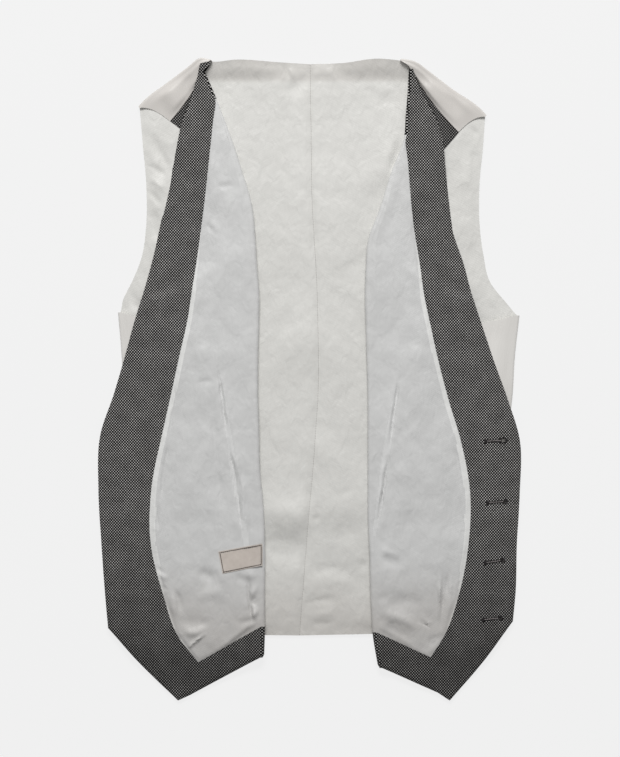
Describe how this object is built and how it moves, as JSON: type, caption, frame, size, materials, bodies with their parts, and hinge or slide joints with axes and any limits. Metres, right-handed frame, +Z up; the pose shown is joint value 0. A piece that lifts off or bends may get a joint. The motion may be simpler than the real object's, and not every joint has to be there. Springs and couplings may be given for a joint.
{
  "type": "suit waistcoat laid out open",
  "caption": "Suit waistcoat laid flat and open on its back, its fronts turned back to show the lining and the facings.",
  "frame": {"origin": "centre of the footprint, on the surface that the garment lies on", "axes": "+Y from the hem to the neck, +Z up from the surface, +X towards the wearer's left"},
  "size_m": [0.4341, 0.662, 0.011],
  "materials": {
    "birdseye_suiting": "matt worsted with a pale birdseye dot",
    "front_lining": "fine twill with a soft sheen",
    "back_lining": "fine twill with a soft sheen",
    "back_satin": "satin",
    "label": "woven, bare, with a stitched border",
    "button": "semi-matt"
  },
  "bodies": {
    "root": {"back_right": "back_satin", "back_left": "back_satin", "back_lining_right": "back_lining", "back_lining_left": "back_lining", "front_right": "birdseye_suiting", "front_left": "birdseye_suiting", "facing_right": "birdseye_suiting", "facing_left": "birdseye_suiting", "front_lining_right": "front_lining", "front_lining_left": "front_lining", "label": "label", "button_1": "button", "button_2": "button", "button_3": "button", "button_4": "button"}
  },
  "joints": []
}
